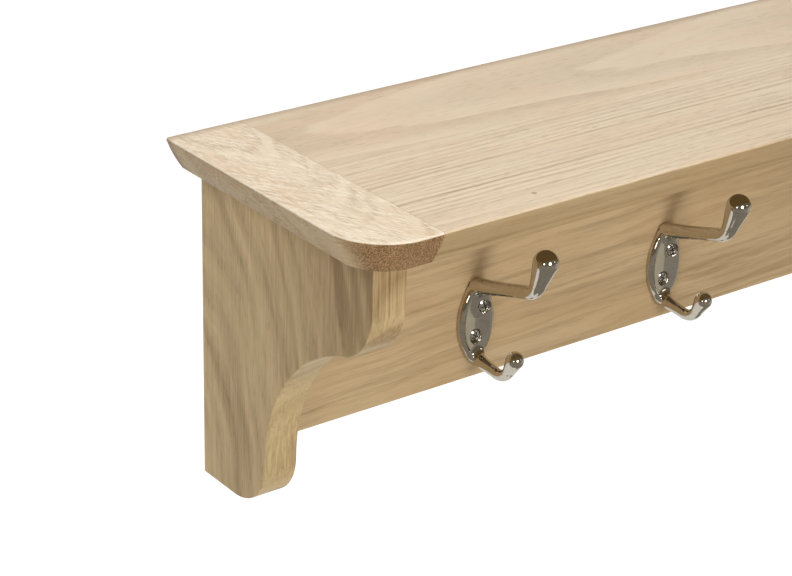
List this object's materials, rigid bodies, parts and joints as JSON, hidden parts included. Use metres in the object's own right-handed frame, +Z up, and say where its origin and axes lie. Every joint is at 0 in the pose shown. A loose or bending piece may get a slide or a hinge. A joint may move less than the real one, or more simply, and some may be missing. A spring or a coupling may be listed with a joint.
{
  "type": "coat rack with shelf",
  "caption": "Wall coat rack in oak: a beveled shelf with end caps on two ogee brackets, and a back rail with polished double hooks.",
  "frame": {"origin": "midway between the two keyhole entries, on the wall's face", "axes": "+X along the shelf to the right as seen from the room, +Y into the wall, +Z up"},
  "size_m": [1, 0.182, 0.2087],
  "materials": {
    "oak_top": "satin",
    "oak_cap": "satin",
    "oak_bracket": "satin",
    "oak_rail": "satin",
    "dowel_beech": "matte",
    "hook_chrome": "polished",
    "hook_screw": "polished",
    "zinc_plate": "satin",
    "zinc_screw": "satin"
  },
  "bodies": {
    "root": {"shelf_back_stave": "oak_top", "shelf_front_stave": "oak_top", "end_cap_left": "oak_cap", "end_cap_right": "oak_cap", "bracket_left": "oak_bracket", "bracket_right": "oak_bracket", "back_rail": "oak_rail", "rail_end_dowels_left": "dowel_beech", "rail_end_dowels_right": "dowel_beech", "bracket_top_dowels_left": "dowel_beech", "bracket_top_dowels_right": "dowel_beech", "rail_top_dowels": "dowel_beech", "keyhole_plate_left": "zinc_plate", "keyhole_plate_right": "zinc_plate", "keyhole_plate_screws_left": "zinc_screw", "keyhole_plate_screws_right": "zinc_screw", "hook_1": "hook_chrome", "hook_1_screws": "hook_screw", "hook_2": "hook_chrome", "hook_2_screws": "hook_screw", "hook_3": "hook_chrome", "hook_3_screws": "hook_screw", "hook_4": "hook_chrome", "hook_4_screws": "hook_screw", "hook_5": "hook_chrome", "hook_5_screws": "hook_screw"}
  },
  "joints": []
}
